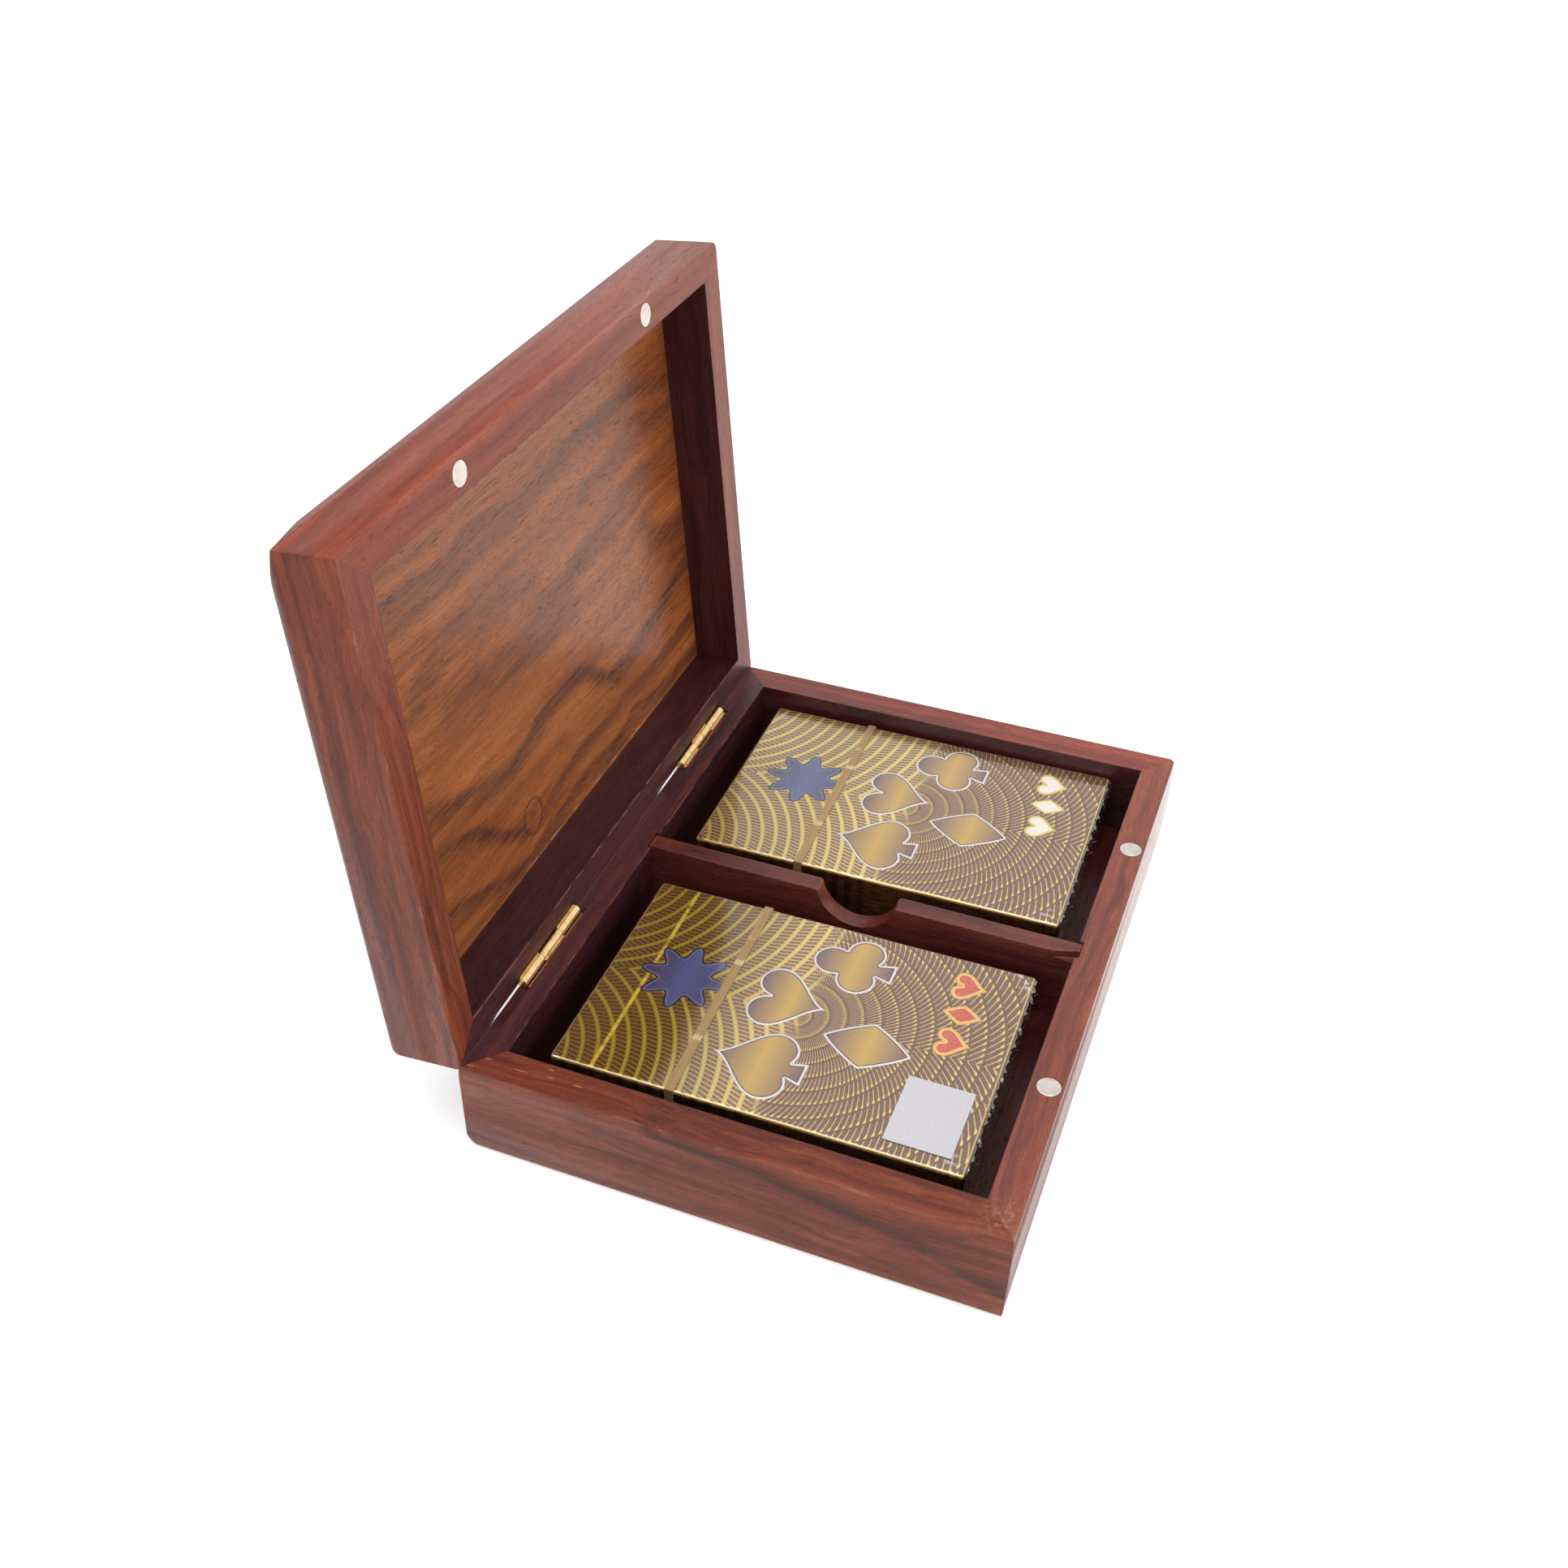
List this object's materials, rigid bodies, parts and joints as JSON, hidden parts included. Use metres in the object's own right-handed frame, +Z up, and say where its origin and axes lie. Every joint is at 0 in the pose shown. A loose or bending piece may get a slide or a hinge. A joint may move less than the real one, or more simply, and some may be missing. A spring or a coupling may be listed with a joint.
{
  "type": "hinged wooden playing card box",
  "caption": "Shallow rosewood box with a magnet-closed hinged lid and a divider with a finger notch, holding film-wrapped decks of playing cards.",
  "frame": {"origin": "centre of the base's underside", "axes": "+X along the hinge line towards the right end, -Y towards the front rim with the magnets, +Z up out of the base"},
  "size_m": [0.1658, 0.1439, 0.1411],
  "materials": {
    "rosewood_frame": "satin oiled rosewood, reddish brown",
    "rosewood_panel": "satin figured rosewood, golden brown with dark streaks",
    "divider_wood": "satin rosewood",
    "magnet": "satin nickel plate",
    "hinge_brass": "polished brass",
    "pin_brass": "drawn brass wire",
    "card_stock": "coated card",
    "case_board": "foil printed board, gold and brown",
    "clear_film": "clear glossy film",
    "tear_film": "gold tear tape",
    "label_paper": "plain white paper"
  },
  "bodies": {
    "base": {"base_front_wall": "rosewood_frame", "base_back_wall": "rosewood_frame", "base_left_wall": "rosewood_frame", "base_right_wall": "rosewood_frame", "base_bottom_panel": "rosewood_panel", "divider": "divider_wood", "base_magnet_left": "magnet", "base_magnet_right": "magnet", "hinge_left_base_leaf": "hinge_brass", "hinge_right_base_leaf": "hinge_brass", "hinge_left_pin": "pin_brass", "hinge_right_pin": "pin_brass"},
    "lid": {"lid_front_wall": "rosewood_frame", "lid_back_wall": "rosewood_frame", "lid_left_wall": "rosewood_frame", "lid_right_wall": "rosewood_frame", "lid_top_panel": "rosewood_panel", "lid_magnet_left": "magnet", "lid_magnet_right": "magnet", "hinge_left_lid_leaf": "hinge_brass", "hinge_right_lid_leaf": "hinge_brass"},
    "deck_left": {"cards_left": "card_stock", "tuck_case_left": "case_board", "wrap_left": "clear_film", "tear_strip_left": "tear_film", "sticker_left": "label_paper"},
    "deck_right": {"cards_right": "card_stock", "tuck_case_right": "case_board", "wrap_right": "clear_film", "tear_strip_right": "tear_film"}
  },
  "joints": [
    {"name": "lid_hinge", "type": "hinge", "parent": "base", "child": "lid", "pos_m": [0, 0.0585, 0.024], "axis": [-1, 0, 0], "range_deg": [-95, 0]},
    {"name": "deck_left_lift", "type": "slide", "parent": "base", "child": "deck_left", "axis": [0, 0, 1], "range_m": [0, 0.015]},
    {"name": "deck_right_lift", "type": "slide", "parent": "base", "child": "deck_right", "axis": [0, 0, 1], "range_m": [0, 0.015]}
  ]
}
